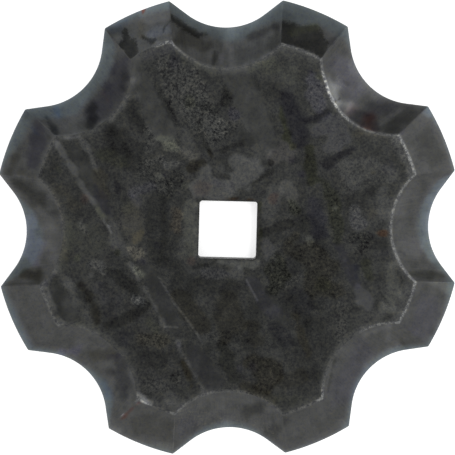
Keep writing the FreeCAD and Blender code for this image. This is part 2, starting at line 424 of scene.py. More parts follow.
mark("face", [(-86, -67, 3.2), (-78, -65, 3.6), (-68, -60, 3.6), (-58, -53, 3.2)], dark=1, wander=1)
mark("face", [(-70.2, -22.6, 0.7), (-63.8, -33.3, 0.9), (-56.7, -45.4, 0.9), (-51, -56.7, 0.9),
     (-45.4, -69.5, 0.7)], soft=1.5, tone=17)
mark("face", [(-57, -28, 4.3), (-50, -44, 6), (-43, -58, 6.4), (-38, -67, 6.4)], run=1, wander=0)
mark("face", [(-55, -33, 3.6), (-48, -45, 5), (-41, -60, 5.7)], soft=2, tone=-1, violet=0.15)
mark("face", [(-65, -28, 2.1), (-60, -31, 2.8)], soft=2.5, tone=20, olive=0.5, coarse=1)
mark("face", [(-61, -22, 2.8)], soft=2.5, tone=3, violet=0.6)
mark("face", [(-55, -64, 2.8), (-52, -72, 2.8)], tone=3, olive=0.4)
mark("face", [(-61, -77, 5), (-48, -78, 6.4)], soft=4, tone=0, brown=0.5, coarse=0.9)
mark("face", [(-75, -77, 5.7)], soft=4, tone=-4, violet=0.4)
mark("face", [(-61, -91, 5), (-50, -92, 6.4)], tone=-9)
mark("face", [(-48, -100, 2.1)], fleck=0.7)
mark("face", [(-55, -111, 5.7), (-45, -111, 4.3)], soft=4, tone=3, coarse=0.6)
mark("face", [(-64, -116, 1.8), (-60, -121, 2.3), (-56, -124.1, 1.4)], tone=32)
mark("face", [(-44, -119, 4.3), (-35, -122, 3.6)], tone=13)
mark("face", [(-45.4, -68.4, 0.6), (-36.1, -69.1, 0.6)], seam=1, wander=0)

# Top middle: the broad smooth streak and what lies beside it.
top_streak = [(6, 111, 9.2), (11, 99, 9.2), (16, 89, 10), (21, 78, 9.2), (26, 68, 7.8), (29, 62, 6.4)]
mark("face", top_streak, run=1, wander=0)
mark("face", top_streak, tone=4)
mark("face", [(19.9, 109.4, 0.7), (22.1, 100.9, 0.7)], soft=1.5, tone=-9)
mark("face", [(24.2, 103.7, 1.4), (27, 96.6, 1.4)], soft=2, tone=-4)
mark("face", [(31, 115, 6.4)], soft=4, tone=4, olive=0.3)
mark("face", [(31, 99, 5), (38, 94, 3.6)], tone=-5)
mark("face", [(-2, 102, 1.8), (0, 95, 3.2), (-3, 90, 3.6)], soft=2.5, tone=-16, coarse=0.4)
mark("face", [(-14, 87, 3.6), (-7, 85, 3.6)], tone=-10)
mark("face", [(5, 82, 4.3)], soft=2.5, tone=0, violet=0.8, coarse=0.7)
mark("face", [(-4, 72, 7.1), (3, 74, 4.3)], soft=4, tone=1, coarse=0.8)
mark("face", [(13, 65, 5)], tone=-5)
mark("face", [(11, 66, 4.3), (16, 64, 3.6)], run=1, wander=1)
mark("face", [(-13, 55, 1.8), (-11, 52, 2.1)], soft=2, tone=-21, brown=0.4)
mark("face", [(-3, 57, 1.8), (4, 60, 2.5), (11, 62, 1.8)], dark=1, wander=2)
mark("face", [(-18, 48, 2.8), (-27, 44, 2.8)], soft=2.5, tone=-14, brown=0.5)
mark("face", [(-16.3, 62.5, 1.4), (-14.1, 57.6, 1.4)], soft=2, tone=-12)
mark("face", [(-34, 38, 5.7), (-40, 31, 5)], soft=4, tone=-8, coarse=0.8)

# Round the hole.
mark("face", [(-16, 43, 3.6), (-18, 31, 8.5), (-4, 28, 7.1), (11, 36, 8.5), (20, 44, 5.7), (6, 47, 5.7)],
     soft=2.5, tone=20)
mark("face", [(-18, 30, 5.7)], rust=0.15)
mark("face", [(-29, 32.7, 1.6)], soft=2, tone=8, olive=0.3)
mark("face", [(2.9, 22.8, 0.9), (8.6, 27.8, 1.3), (17.1, 32.7, 1.4), (24.9, 37.7, 1.6), (32, 42, 2.1)],
     dark=1, wander=1)
mark("face", [(-1, 37, 1.8)], soft=2, tone=-24)
mark("face", [(-8, 33, 2.1), (1, 31, 2.1)], violet=0.4, tone=-4)
mark("face", [(16, 50, 6.4), (24, 55, 5.7)], tone=6)
mark("face", [(30, 47, 2.1)], soft=2, tone=-20)
mark("face", [(41, 55, 7.8), (33, 51, 4.3)], tone=13, rust=0.06)
mark("face", [(-2.1, 22.2, 0.4), (18.5, 21.5, 0.4)], soft=1.5, tone=-4, brown=1, rust=0.4)
mark("face", [(33, 26, 5.7), (31, 17, 7.1), (28, 11, 4.3)], tone=10)
mark("face", [(32, 23, 3.6)], rust=0.3)
mark("face", [(26, -2, 2.5), (33, 1, 3.6), (43, 4, 3.6)], dark=1, wander=2)
mark("face", [(28, -11, 4.3), (30, -20, 4.3)], soft=2.5, tone=13, violet=0.2)
mark("face", [(22.5, 18.5, 0.6), (22.1, -17.7, 0.6)], soft=1.5, tone=-7, olive=0.8)
mark("face", [(-27, 18, 4.3), (-27, 0, 5), (-27, -14, 5)], tone=18, olive=0.25)
mark("face", [(-21.9, 17.1, 1.4), (-21.9, -17.7, 1.4)], soft=2, tone=8)
mark("face", [(-37, 14, 3.6), (-36, 1, 3.6)], tone=8, brown=0.5, rust=0.1, coarse=0.6)
mark("face", [(-33, -8, 2.8), (-33, -18, 2.8)], tone=8)
mark("face", [(-45, 21, 2.8), (-44, 0, 3.6), (-44, -17, 4.3)], tone=-7)
mark("face", [(-27, -22, 2.8)], soft=2.5, tone=5, rust=0.25)
mark("face", [(-24.1, -26.2, 1.1), (-16, -25, 1.8), (-9.2, -22.6, 0.7)], dark=1, wander=1)
mark("face", [(-7, -23, 1.8), (9, -25, 3.2), (20, -23, 2.5)], soft=2.5, tone=22, olive=0.15)
mark("face", [(-16, -30, 4.3), (-6, -31, 4.3)], soft=2.5, tone=8, violet=0.3, coarse=0.5)
mark("face", [(6, -30, 5)], soft=2.5, tone=12)
mark("face", [(-34, -38, 8.5), (-13, -40, 5.7), (3, -41, 5.7)], soft=4, tone=-8)
mark("face", [(28, -28, 2.8), (35, -18, 2.8), (37, -33, 6.4), (31, -43, 5)],
     tone=-12, olive=0.4, coarse=0.9)
mark("face", [(36, -41, 1.8), (44, -38, 2), (51.2, -32.6, 1.4)], soft=2.5, tone=4, fleck=0.8)

# Below the hole.
mark("face", [(-35, -47, 5.7), (-27, -58, 7.1), (-18, -68, 6.4)], tone=-6, brown=0.4)
mark("face", [(-49.6, -32.6, 0.6), (-43.9, -42.5, 0.6), (-38.3, -51.7, 0.7), (-30.4, -62.4, 0.7),
     (-23.3, -72.3, 0.8), (-18.4, -80.8, 0.6)], seam=1, wander=0)
mark("face", [(0, -50, 7.1), (1, -64, 11.4), (-1, -75, 5.7)], soft=5, tone=-6, brown=0.35)
mark("face", [(-18, -51, 5)], soft=4, tone=3)
mark("face", [(12.8, -35.4, 0.6), (16.4, -42.5, 0.7), (20.7, -50.3, 0.6)], seam=1, wander=0)
mark("face", [(17, -37, 4.3), (24, -48, 5.7), (33, -58, 5.7), (39, -65, 4.3)], run=1, wander=1)
mark("face", [(17, -37, 4.3), (24, -48, 5.7), (32, -58, 5.7)], soft=2.5, tone=-1, violet=0.5)
mark("face", [(32, -57, 4.3)], tone=6)
mark("face", [(34, -71, 5.7), (40, -79, 5.7)], tone=-9, violet=0.4)
mark("face", [(16, -71, 5.7), (21, -79, 4.3)], soft=4, tone=-3, brown=0.3)
mark("face", [(-36, -79, 1.7), (-34, -86.5, 0.9), (-29, -94.3, 0.9), (-24.1, -103.5, 0.9),
     (-19.1, -112.8, 0.8)], soft=1.5, tone=18)
mark("face", [(-25, -87, 5.7), (-20, -96, 7.8), (-13, -106, 8.5)], run=1, wander=0)
mark("face", [(-24, -89, 5.7), (-18, -99, 7.1), (-11, -108, 7.1)], tone=-3, violet=0.3)
mark("face", [(-35, -82, 1.8)], soft=2.5, tone=6, violet=0.5)
mark("face", [(-32.6, -93.6, 1.4), (-29, -102, 2.1), (-26, -111, 1.8)], soft=2, tone=-11, brown=0.9)
mark("face", [(-40, -88, 2.8), (-35, -94, 2.8)], tone=-8)
mark("face", [(-37, -105, 5)], soft=4, tone=-2, coarse=0.9)
mark("face", [(-4, -85, 4.3), (0, -96, 5), (4, -105, 4.3)], tone=-12, olive=0.2)
mark("face", [(7, -99, 2.8)], tone=4, violet=0.5)
mark("face", [(17, -94, 5.7), (28, -102, 10), (24, -113, 5)], soft=4, tone=-10, brown=0.5, coarse=0.5)
mark("face", [(17, -99, 2.8)], violet=0.7)
mark("face", [(-13, -75, 4.3), (9, -78, 5.7)], soft=5, tone=-3, coarse=0.4)

# Upper right: squares of bluish scale with dark bands between.
mark("face", [(44, 110, 7.8)], soft=5, tone=6, olive=0.2)
mark("face", [(41, 94, 4.3), (47, 81, 6.4), (51, 68, 6.4), (51, 61, 4.3)], soft=5, tone=-13, violet=0.7)
mark("face", [(37.7, 86.7, 1.1), (40, 75, 2.1), (43, 64, 2.1), (46, 58, 1.8)], soft=2, tone=-6, olive=1)
mark("face", [(60, 105, 5), (63, 95, 7.1), (64, 88, 5.7)], soft=2.5, tone=13, violet=0.6, coarse=0.7)
mark("face", [(58.3, 111.5, 1.6)], soft=2, tone=-8, violet=1)
mark("face", [(65, 108, 1.8)], soft=2.5, olive=0.7)
mark("face", [(56, 77, 1.8), (63, 79, 2.8), (70, 83, 2.5)], dark=1, wander=1)
mark("face", [(56, 77, 2.1), (63, 79, 2.8), (70, 83, 2.8)], violet=0.6)
mark("face", [(64, 70, 5), (74, 75, 7.1), (80, 65, 7.8), (72, 57, 4.3)], soft=2.5, tone=12, violet=0.3)
mark("face", [(91, 67, 3.6)], tone=4, brown=0.4)
mark("face", [(70, 46, 3.9), (78, 52, 2.1), (87, 56, 1.8)], dark=1, wander=1)
mark("face", [(70, 46, 4.3), (78, 52, 2.1), (87, 56, 2.1)], violet=0.5)
mark("face", [(85, 43, 7.8), (102, 41, 9.2), (114, 38, 5.7), (83, 31, 5.7)], tone=9, coarse=0.3)
mark("face", [(114, 44, 5)], soft=4, violet=0.3)
mark("face", [(103, 39.8, 1.6)], soft=2.5, tone=-3, brown=0.9)
mark("face", [(57, 57, 2.8), (58, 46, 4.3), (60, 36, 4.3)], tone=-12, olive=0.8)
mark("face", [(47, 50, 2.8)], tone=-10, violet=0.5)
mark("face", [(53, 39, 2.8)], tone=-6, violet=0.9)
mark("face", [(42, 30, 5.7), (45, 24, 4.3)], tone=14, brown=0.1)
mark("face", [(48, 13, 3.6), (45, 19, 2.8)], tone=-4, olive=0.5, coarse=1)

# Right of the hole.
mark("face", [(60, 18, 5), (64, 7, 6.4), (65, -2, 5)], tone=-3, violet=0.8)
mark("face", [(70, 31, 3.6), (75, 21, 5), (77, 4, 5), (78, -6, 3.6)], tone=-9, olive=0.6, coarse=0.4)
mark("face", [(76, 13.6, 1.6)], soft=2, tone=18)
mark("face", [(91, 12, 5), (92, 4, 5.7)], soft=2.5, tone=14, violet=0.25, coarse=0.8)
mark("face", [(102, 11, 3.6)], tone=6, brown=0.4)
mark("face", [(110, 27, 3.6), (110, 16, 4.3), (109, 6, 2.8)], tone=12)
mark("face", [(88, -7, 3.6), (97, -7, 5), (95, -16, 3.6)], soft=2.5, tone=-10, coarse=0.9)
mark("face", [(109, -3, 3)], soft=2, tone=6, brown=1, rust=0.5)
mark("face", [(110, -18, 4.3)], soft=4, tone=2, violet=0.3)
mark("face", [(115, -27, 3.6), (118, -43, 5.7), (114, -54, 5.7)], soft=4, tone=16, olive=0.15)
mark("face", [(78, -12, 2.3), (82, -20, 2.8), (87, -30, 4.3), (91, -39, 4.3), (98, -52, 6.4)],
     run=1, wander=0)
mark("face", [(78, -12, 2.3), (82, -20, 2.8), (87, -30, 4.3), (91, -39, 4.3)], soft=2, tone=-2, violet=0.6)
mark("face", [(90.2, -26.2, 1.6), (91.6, -34, 1.6)], soft=2.5, tone=-3, sky=0.3, violet=0.5)
mark("face", [(83.1, -22.6, 1.1), (85.9, -32.6, 1.1)], soft=2, tone=8)
mark("face", [(92, -44, 4.3), (98, -52, 5.7)], soft=2, tone=12, violet=0.2)
mark("face", [(86.7, -43.2, 0.7), (90.9, -52.4, 0.7), (94.5, -58.1, 0.6)], soft=1.5, tone=8)
mark("face", [(45, -14, 5.7), (58, -18, 9.2), (69, -28, 9.2), (60, -39, 7.8), (76, -43, 6.4)],
     soft=4, tone=-10, brown=0.4, coarse=0.4)
mark("face", [(67, -40, 5.7)], soft=4, olive=0.5)
mark("face", [(56.1, -5.6, 1.6), (59, -9.2, 1.4)], soft=2, tone=26, olive=0.3)
mark("face", [(63.2, -14.1, 0.7)], soft=1.5, tone=22)
mark("face", [(48, -4, 3.6), (44, -7, 3.6)], soft=4, tone=-8, brown=0.3, coarse=0.5)
mark("face", [(48, -47, 6.4), (54, -55, 6.4)], soft=4, tone=-10, violet=0.3)
mark("face", [(97, -23, 2.5), (99, -33, 3.2)], tone=-6, olive=0.6)

# Lower right.
mark("face", [(60, -71, 10), (65, -85, 7.8), (51, -82, 6.4), (58, -101, 7.8)], soft=6, tone=-7)
mark("face", [(48, -62, 2.5), (51, -74, 2.5), (57, -89, 2.5)], brown=0.6)
mark("face", [(80, -55, 5), (82, -65, 4.3), (78, -77, 4.3)], soft=4, tone=1, coarse=0.6)
mark("face", [(34, -121, 3.6), (51, -121, 3.6)], tone=4, olive=0.2)
mark("face", [(41, -109, 6.4), (51, -106, 5.7)], soft=4, tone=-4, brown=0.3)
mark("face", [(66.1, -53.9, 0.6)], soft=1.5, tone=25)
mark("face", [(74.6, -73.7, 0.6)], soft=1.5, tone=30)
mark("face", [(63.9, -95, 0.6)], soft=1.5, tone=25)
mark("face", [(106.5, -42.5, 0.6), (113.6, -53.9, 0.6)], soft=1.5, tone=-12)

# Broad patches where the scale as a whole lies darker or paler.
mark("face", [(-50, 88, 2.8), (-33, 89, 3.6)], soft=6, tone=-5)
mark("face", [(-129, 44, 2.8), (-121, 47, 2.8)], soft=5, tone=-4)
mark("face", [(-121, -28, 3.6), (-114, -36, 4.3)], soft=5, tone=16)
mark("face", [(-111, -45, 4.3), (-112, -64, 4.3)], soft=6, tone=9)
mark("face", [(-82, 3, 3.6), (-78, -7, 5.7), (-72, -16, 3.6)], soft=5, tone=14)
mark("face", [(-92, -40, 4.3), (-88, -50, 2.8)], soft=5, tone=8)
mark("face", [(-47, -23, 3.6), (-37, -25, 4.3)], soft=5, tone=-12)
mark("face", [(-30, -10, 2.1), (-28, -18, 2.8)], soft=4, tone=-8)
mark("face", [(29, 34, 2.8)], soft=4, tone=-8)
mark("face", [(-4, 44, 2.8)], soft=4, tone=8)
mark("face", [(50, 9, 5.7), (60, 0, 6.4), (65, -11, 5.7)], soft=6, tone=-10)
mark("face", [(82, 31, 4.3), (88, 17, 5.7), (98, 28, 5.7), (108, 36, 4.3)], soft=6, tone=-8)
mark("face", [(98, -10, 5), (111, -11, 4.3)], soft=5, tone=-7)
mark("face", [(47, -23, 5), (41, -43, 4.3), (44, -57, 5.7), (54, -65, 5.7)], soft=7, tone=-9)
mark("face", [(63, -52, 5.7)], soft=6, tone=-11)
mark("face", [(16, -51, 3.6), (20, -65, 5), (14, -82, 5.7)], soft=5, tone=-9)
mark("face", [(91, -67, 4.3), (102, -64, 4.3), (112, -58, 3.6)], soft=5, tone=8)
mark("face", [(-14, -84, 2.8)], soft=5, tone=-9)
mark("face", [(-38, -103, 4.3)], soft=5, tone=-9)
mark("face", [(-1, -115, 2.8), (13, -117, 3.6)], soft=4, tone=-8)

# Just inside the ridge, where the scale is rubbed thin or has caught dirt.
mark("face", [(129.5, 37.7, 1.5), (118, 64, 2.5)], soft=4, tone=15, coarse=0.6)
mark("face", [(112, 0, 3), (116, 20, 3)], soft=5, tone=6)
mark("face", [(112, 65, 2), (96, 68, 2)], soft=4, tone=2, brown=0.3)
mark("face", [(69, 94, 4)], soft=5, tone=4, violet=0.2)
mark("face", [(45, 125, 3), (38, 127, 2)], soft=5, tone=8)
mark("face", [(31, 121, 2), (16, 113, 3)], soft=4, tone=9, olive=0.3)
mark("face", [(-10, 112, 2), (-31, 122, 2)], soft=4, tone=9, olive=0.2)
mark("face", [(-38, 128, 3), (-55, 123, 3)], soft=5, tone=8, violet=0.3)
mark("face", [(-116, 66, 2), (-123, 59, 2)], soft=4, tone=10)
mark("face", [(-120.8, 65.5, 0.4), (-131.9, 39, 0.6)], dark=1, wander=1)
mark("face", [(-122, 30, 3), (-116, -20, 3)], soft=5, tone=4, brown=0.3)
mark("face", [(-123, -31, 2), (-129, -37, 2)], soft=4, tone=12, violet=0.2)
mark("face", [(-131, -40.9, 0.8), (-119.2, -65.5, 1)], soft=2, tone=14)
mark("face", [(-108, -65, 2), (-94, -69, 2)], soft=4, tone=8, olive=0.2)
mark("face", [(-63.5, -117.5, 1.5), (-59.7, -121.1, 1.2)], tone=22)
mark("face", [(-53, -121, 3), (-38, -127, 3)], soft=5, tone=12)
mark("face", [(-18.4, -117, 0.8), (8, -114.7, 0.8)], soft=2.5, tone=8)
mark("face", [(10, -112, 3), (31, -121, 3)], soft=5, tone=-6, brown=0.5)
mark("face", [(67, -99, 2), (73, -88, 2)], soft=4, tone=0)
mark("face", [(84, -76, 2), (109, -65, 2)], soft=5, tone=4)
mark("face", [(118, -64, 3), (128, -37, 3)], soft=5, tone=12)
mark("face", [(125, -33, 2), (115, -20, 3)], soft=4, tone=3)

# The bevel facet by facet, from the notch on +X round: paler, darker and stained steel. The paler and
# darker patches are partly real stains and partly painted highlights and painted shade that set how bright
# each facet is.
mark(0, [(141, 0, 4), (145, 21, 5), (154, 33, 4)], soft=10, tone=18, violet=0.3)
mark(0, [(122, 13, 4), (126, 25, 3)], soft=5, tone=8)
mark(0, [(140, 30, 3), (138, 34, 2)], soft=5, tone=-4)
mark(0.5, [(143, 81, 2), (140, 84, 3)], soft=4, tone=16, sky=0.3)
mark(0.5, [(124.2, 70.2, 1.5)], soft=4, tone=-4, violet=0.5)
mark(0.5, [(141, 77, 4)], soft=6, tone=8)
mark(0.5, [(146, 52, 8), (138, 62, 8)], soft=8, tone=-8)
mark(1, [(131, 81, 3), (115, 71, 5)], soft=6, tone=-18)
mark(1, [(115, 86, 4), (104, 84, 5)], soft=6, tone=-12, violet=0.5)
mark(1, [(101, 78, 4), (91, 80, 5), (103, 73, 5)], soft=5, tone=-22, violet=0.4)
mark(1, [(123.3, 83.8, 0.8), (108.1, 73.6, 1.2)], tone=12)
mark(1, [(102, 79, 3), (100, 76, 4), (100, 72, 4)], soft=8, tone=2, rust=0.7)
mark(1, [(91, 85, 2), (86, 84, 3)], soft=7, tone=22, rust=0.2)
mark(1, [(90, 99, 8), (81, 115, 8)], soft=9, tone=12, violet=0.5)
mark(1, [(95, 104, 2), (87, 120, 2)], soft=5, tone=12)
# Painted highlight: the white patch by the ridge in this notch.
mark(1, [(77, 91, 2.5), (75, 98, 4), (72, 107, 2)], soft=7, tone=46, wander=2)
mark(1, [(79.2, 92.2, 0.4), (75.3, 89.9, 0.4)], soft=1, tone=-50, wander=0)
mark(1, [(81, 100, 2), (78, 108, 2)], soft=4, tone=9, fleck=0.6)
mark(1, [(86, 102.1, 0.5), (74, 110.1, 0.5)], soft=2, tone=-12)
mark(1, [(74, 118, 3)], soft=5, tone=-6, violet=0.3)
mark(1, [(110, 91, 3), (97, 101, 3)], soft=5, tone=10)
# Painted highlight: more of the white patch, further from the ridge.
mark(1, [(86, 88, 2.5), (80, 89, 2)], soft=6, tone=34, wander=1)
mark(1.5, [(66, 125, 3), (65, 129, 6), (61, 134, 9), (53, 136, 8), (45, 138, 8), (38, 139, 8)],
     dark=1, wander=2)
mark(1.5, [(64, 125, 2), (53, 131, 3), (41, 134, 2)], soft=4, tone=-5, coarse=0.7)
mark(1.5, [(63, 132, 2), (59, 132, 2)], tone=-6, coarse=1)
mark(1.5, [(63, 142, 2), (53, 141, 3), (47, 139, 3)], soft=4, tone=4, olive=0.7)
mark(1.5, [(64.3, 139.3, 0.6), (61.4, 136.2, 0.8)], soft=2.5, tone=3, brown=0.9)
mark(1.5, [(83, 139, 2), (74, 131, 3)], soft=5, tone=-12, violet=0.2)
mark(1.5, [(40, 147, 8)], soft=7, tone=-13)
mark(2, [(36, 138, 3), (32, 130, 4)], soft=4, tone=-14, coarse=0.5)
mark(2, [(35, 143, 2), (27, 141, 2), (17, 136, 2)], tone=-18, violet=0.2)
mark(2, [(21, 128, 6), (11, 124, 5)], soft=6, tone=-12, violet=0.1)
mark(2, [(-13.3, 137.8, 0.8), (-20, 138, 2), (-29, 143, 2), (-39, 150, 2)], dark=1, wander=1)
mark(2, [(-15, 130, 3), (-29, 135, 7), (-34, 133, 4)], soft=5, tone=-18, brown=0.2)
mark(2, [(-8.4, 125.8, 0.8), (-9.2, 117.2, 1.4)], soft=2, tone=-24)
mark(2, [(3, 140, 4), (0, 131, 3)], soft=6, tone=18)
mark(2, [(4.3, 127.1, 1), (3, 117, 2)], tone=8)
mark(2, [(-2.9, 129, 0.8), (-4, 117.3, 1)], soft=2.5, tone=12, violet=0.3)
mark(2.5, [(-40, 156, 6), (-56, 151, 5)], soft=6, tone=14)
mark(2.5, [(-41, 142, 3), (-53, 139, 4)], soft=4, tone=16, sky=0.4, coarse=1)
mark(2.5, [(-39.3, 147.8, 0.5), (-43.9, 143.4, 0.5), (-45.1, 137.2, 0.6), (-53.2, 134.1, 0.6),
     (-58.7, 135.8, 0.5)], soft=1.5, tone=-34, wander=3)
# Painted highlight: a pale line by the ridge on this tooth.
mark(2.5, [(-38.9, 136.4, 0.8), (-48.4, 133, 0.8)], soft=2, tone=26)
mark(2.5, [(-60, 145, 3), (-59, 139, 3)], soft=4, tone=0, brown=0.5)
mark(2.5, [(-70.8, 142.4, 0.8), (-70, 136, 3), (-69, 131, 6), (-67, 125, 5)], dark=1, wander=3)
mark(2.5, [(-67, 142, 3), (-75, 131, 3)], soft=4, tone=-6, coarse=0.8)
mark(2.5, [(-71, 148, 2), (-80, 141, 3)], soft=4, tone=-5, sky=0.6)
mark(2.5, [(-58, 155.7, 0.5), (-58.9, 153.8, 0.5)], soft=1.5, rust=1)
mark(2.5, [(-81, 140, 5)], soft=6, tone=-14)
mark(3, [(-72, 120, 4), (-77, 103, 6), (-86, 90, 7), (-95, 82, 6)], soft=9, tone=-15, violet=0.7)
mark(3, [(-73, 110, 2.5), (-72, 101, 2.5)], soft=5, tone=-13)
mark(3, [(-95, 87, 3), (-97, 80, 4), (-96, 75, 4)], soft=6, tone=-22)
mark(3, [(-86.9, 97, 1.5), (-84.6, 92.3, 1.5)], tone=5, rust=0.25)
mark(3, [(-78, 120, 2), (-86, 98, 2)], soft=4, tone=-6, violet=0.4)
mark(3, [(-121, 86, 3), (-118, 80, 2.5)], soft=4, tone=6, sky=0.9)
mark(3, [(-128.1, 80.1, 0.5), (-125.1, 74.6, 1), (-119.9, 68.8, 1.4)], soft=2.5, tone=-24, sky=0.4)
mark(3, [(-98, 98, 2), (-102, 90, 2)], soft=4, tone=8)
mark(3, [(-102, 75, 4), (-93, 78, 3)], soft=6, tone=-13)
mark(3.5, [(-131, 75, 4), (-134, 63, 6), (-137, 50, 5)], soft=6, tone=-13, violet=0.8)
mark(3.5, [(-138.8, 73.2, 0.8), (-133.1, 67.7, 1)], soft=2.5, tone=4, sky=0.8)
mark(3.5, [(-131.8, 74.1, 0.5), (-125.4, 66.1, 0.6)], soft=2, tone=-10)
mark(3.5, [(-146, 42, 3), (-140, 39, 3)], soft=7, tone=-6, brown=0.1)
mark(3.5, [(-150, 53, 2), (-154, 40, 3)], soft=5, tone=-10, brown=0.2)
mark(3.5, [(-146, 58, 4), (-147, 45, 5)], soft=7, tone=-6)
mark(3.5, [(-143, 82, 4)], soft=6, tone=-13)
mark(4, [(-148, 33, 4), (-135, 22, 5), (-130, 26, 3)], soft=6, tone=-14, brown=0.1)
mark(4, [(-125, 16, 2)], soft=4, tone=8)
mark(4, [(-140, 9, 4), (-142, -15, 6), (-137, -22, 3), (-134, -9, 5)], soft=5, tone=16, violet=0.6)
mark(4, [(-125, 5, 4), (-124, -13, 3)], soft=6, tone=2)
mark(4, [(-145, -31, 2.5), (-134, -31, 4)], soft=4, tone=-24, brown=0.4)
mark(4, [(-158.3, -38.3, 0.8), (-134.3, -36.3, 0.8)], tone=-8)
mark(4, [(-148, 37, 5), (-132, 23, 5), (-123, 14, 4)], soft=6, tone=-12)
mark(4, [(-126, 0, 5), (-127, -16, 5)], soft=6, tone=8)
mark(4.5, [(-149, -42, 6), (-134, -74, 6)], soft=5, tone=-2)
mark(4.5, [(-155.2, -51.7, 1.5), (-140, -83, 2)], soft=4, tone=10, sky=0.3)
mark(5, [(-118, -87, 2.5), (-107, -86, 2), (-104.9, -81.5, 1.2)], tone=10, violet=0.9, fleck=0.5)
mark(5, [(-130, -83, 2), (-118, -80, 2)], soft=5, tone=-4)
mark(5, [(-94, -90, 4), (-83, -87, 4)], soft=6, tone=-14, brown=0.3)
mark(5, [(-89, -110, 3), (-84, -118, 3)], soft=4, tone=7, sky=0.6)
mark(5, [(-82, -101, 3), (-75, -113, 5), (-77, -92, 5)], soft=5, tone=-17, violet=0.3)
mark(5, [(-83.1, -107.1, 0.8), (-76.8, -118.8, 1.5), (-71.2, -116.3, 1.5)], tone=-10, sky=0.3)
mark(5, [(-86, -89.9, 1.5), (-78.7, -89.7, 1.5)], violet=0.6)
mark(5, [(-81, -108, 5)], soft=5, tone=4)
mark(5.5, [(-77.1, -135.9, 0.5), (-64.5, -122.9, 0.8)], soft=2, rust=0.6)
mark(5.5, [(-77.4, -133, 0.4), (-76, -131.4, 0.4)], soft=1.5, tone=45)
mark(5.5, [(-62, -139, 8), (-44, -143, 8)], soft=6, tone=-7, brown=0.1)
mark(5.5, [(-54.4, -154.1, 1.5), (-42, -156, 2.5)], soft=5, tone=12, olive=0.2)
mark(5.5, [(-84.8, -141.3, 1), (-78.8, -144.3, 1.2)], tone=14)
# Painted highlight: a bright spot at the ridge's corner on this tooth.
mark(5.5, [(-66.9, -120.6, 1.2), (-65.2, -123.7, 1.2)], soft=2.5, tone=26)
mark(5.5, [(-39.9, -151, 0.6), (-38.7, -138.3, 0.6)], soft=2, tone=12)
mark(6, [(-30, -142, 8)], soft=8, tone=-3, violet=0.3)
mark(6, [(-3, -139, 4)], soft=6, tone=14, sky=0.15)
mark(6, [(14, -131, 5), (21, -126, 4)], soft=6, tone=-16)
mark(6, [(32, -135, 3)], soft=5, tone=-8)
mark(6, [(-18, -121, 2), (5, -118, 2)], soft=4, tone=2)
mark(6, [(-32, -133, 8), (28, -146, 6)], soft=6, fleck=0.3)
mark(6, [(29, -148, 4), (33, -144, 4)], soft=6, tone=-12)
mark(6.5, [(83, -139, 3)], soft=5, tone=10)
mark(6.5, [(39.5, -153.3, 1), (39.1, -141.2, 1)], tone=5)
mark(6.5, [(38, -138, 4)], soft=6, tone=-11)
mark(7, [(80, -118, 9), (95, -89, 8)], soft=9, tone=1, violet=0.5)
mark(7, [(98, -98, 3), (121, -85, 3)], soft=6, tone=14)
mark(7, [(112.6, -81.4, 0.8), (115.2, -71, 0.8)], tone=8)
mark(7, [(125, -83.7, 1.2), (123.2, -79.2, 1.2)], tone=-8, brown=0.4)
mark(7, [(97, -75, 2), (114.5, -68.9, 1.5)], soft=4, tone=14)
mark(7, [(70.6, -115, 0.6), (72.8, -101.5, 0.6), (75.4, -93.4, 0.5)], soft=2, tone=-12)
mark(7, [(69.9, -109.9, 0.6), (72.9, -97.9, 0.6)], soft=2, tone=10)
mark(7.5, [(137, -73, 9), (142, -56, 8)], soft=8, tone=4, violet=0.5)
mark(7.5, [(156, -43, 4), (146, -39, 2)], soft=5, tone=18, olive=0.15)
mark(7.5, [(127, -71, 2)], soft=4, violet=0.5)
mark(7.5, [(146, -76, 3)], soft=6, tone=-10)
mark(0, [(154.3, -35.7, 1), (141, -33, 2.5), (130.4, -32.5, 1.5)], soft=4, tone=-18, olive=0.2)
mark(0, [(146, -23, 3), (141, -9, 3)], soft=5, tone=14)
mark(0, [(132, -14, 8)], soft=7, tone=9, violet=0.1)
mark(0, [(131, -26, 3), (121.8, -15.5, 1)], soft=4, tone=-8)

# Painted highlights: bright lines where two facets meet, where their rounded edges catch the lamps.
mark(5.5, [(-39.7, -160.2, 0.5), (-37.9, -132.7, 0.4)], seam=1, wander=0)
mark(4.5, [(-160.2, -39.6, 0.4), (-134.5, -37.4, 0.3)], seam=1, wander=0)
mark(7.5, [(160.2, -39.6, 0.4), (134.3, -37.4, 0.3)], seam=1, wander=0)
mark(1.5, [(84.9, 142, 0.3), (67.4, 122.2, 0.1)], seam=1, wander=0)
mark(6.5, [(38.4, -158.2, 0.2), (36.5, -133.4, 0.2)], seam=1, wander=0)

bmesh.ops.weld_verts(bm, targetmap=dict(zip(ring, first_ring)))
bmesh.ops.recalc_face_normals(bm, faces=bm.faces)
for face in bm.faces:
    face.smooth = True
SHARP_FROM = math.radians(40)
for edge in bm.edges:
    edge.smooth = edge.calc_face_angle(0) < SHARP_FROM
blade_mesh = bpy.data.meshes.new("blade_steel")
bm.to_mesh(blade_mesh)
bm.free()
blade = bpy.data.objects.new("blade_steel", blade_mesh)
bpy.context.collection.objects.link(blade)


def srgb(text):
    """An sRGB hex colour as the linear values that the shader takes."""
    values = [int(text[place:place + 2], 16) / 255 for place in (1, 3, 5)]
    return [v / 12.92 if v <= 0.04045 else ((v + 0.055) / 1.055) ** 2.4 for v in values] + [1]


